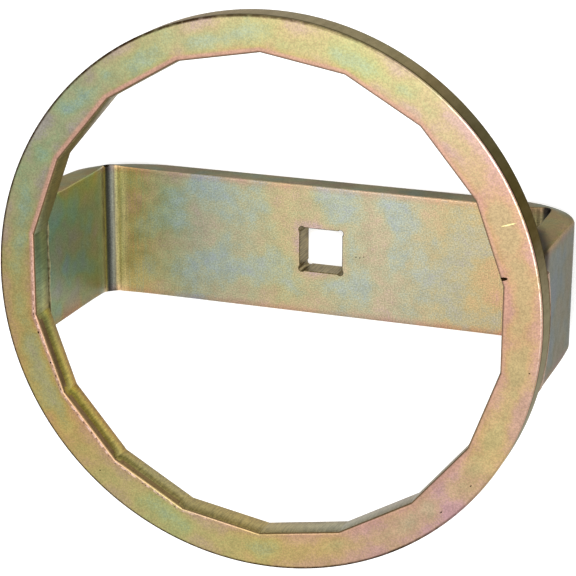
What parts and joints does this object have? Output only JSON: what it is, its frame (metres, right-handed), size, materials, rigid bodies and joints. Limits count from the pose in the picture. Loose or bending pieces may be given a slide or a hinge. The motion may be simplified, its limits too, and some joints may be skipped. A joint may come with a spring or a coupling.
{
  "type": "oil filter wrench",
  "caption": "Plate ring with a many-sided opening, welded to a U-shaped flat bar strap that has a square drive hole, for turning large spin-on oil filters.",
  "frame": {"origin": "centre of the strap's flat back face, on the axis of the square drive hole and of the ring", "axes": "+Z along the drive axis from the strap to the ring, X along the strap, Y across it"},
  "size_m": [0.158, 0.158, 0.059],
  "materials": {
    "ring_plating": "iridescent yellow zinc plating, satin, fine grain",
    "strap_plating": "iridescent yellow zinc plating over rolled bar, satin",
    "weld_plating": "yellow zinc plating over ground weld metal"
  },
  "bodies": {
    "root": {"socket_ring": "ring_plating", "drive_strap": "strap_plating", "outer_weld_left": "weld_plating", "outer_weld_right": "weld_plating", "inner_weld_left": "weld_plating", "inner_weld_right": "weld_plating"}
  },
  "joints": []
}
